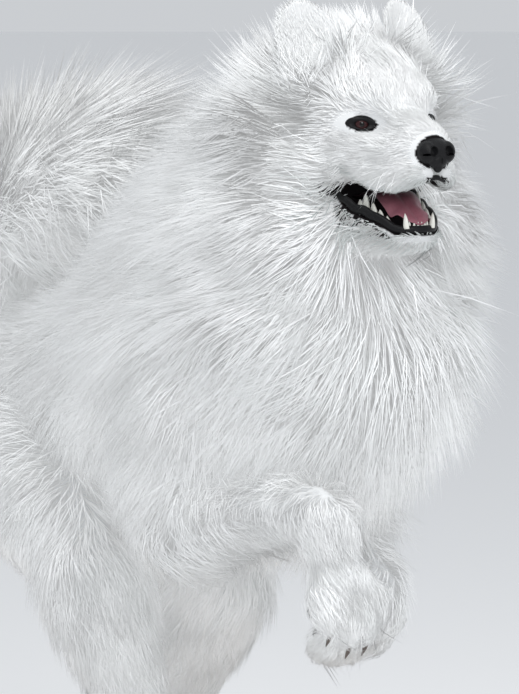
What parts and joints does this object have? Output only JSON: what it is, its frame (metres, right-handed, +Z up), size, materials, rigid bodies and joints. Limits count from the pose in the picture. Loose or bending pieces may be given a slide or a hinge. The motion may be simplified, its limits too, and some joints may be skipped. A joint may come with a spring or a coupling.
{
  "type": "samoyed",
  "caption": "Life-size samoyed dog in mid bound, mouth open and tail curled over its back, held by a plain display stand.",
  "frame": {"origin": "middle of the stand base's underside", "axes": "+Z up, +X the way the dog faces, +Y its left side"},
  "size_m": [0.8583, 0.4057, 0.8837],
  "materials": {
    "coat": "dense white fur, matte",
    "nose_skin": "black, pebbled, moist",
    "tongue_skin": "pink, moist",
    "eye_gloss": "dark brown, wet gloss",
    "stand_wood": "grey stained, satin",
    "stand_steel": "brushed"
  },
  "bodies": {
    "root": {"torso": "coat", "neck": "coat", "head": "coat", "lower_jaw": "coat", "tail_root": "coat", "tail_plume": "coat", "ear_right": "coat", "ear_left": "coat", "foreleg_right": "coat", "foreleg_left": "coat", "forepaw_right": "coat", "forepaw_left": "coat", "hindleg_right": "coat", "hindleg_left": "coat", "hindpaw_right": "coat", "hindpaw_left": "coat", "nose": "nose_skin", "tongue": "tongue_skin", "eye_right": "eye_gloss", "eye_left": "eye_gloss", "stand_base": "stand_wood", "stand_rod": "stand_steel"}
  },
  "joints": []
}
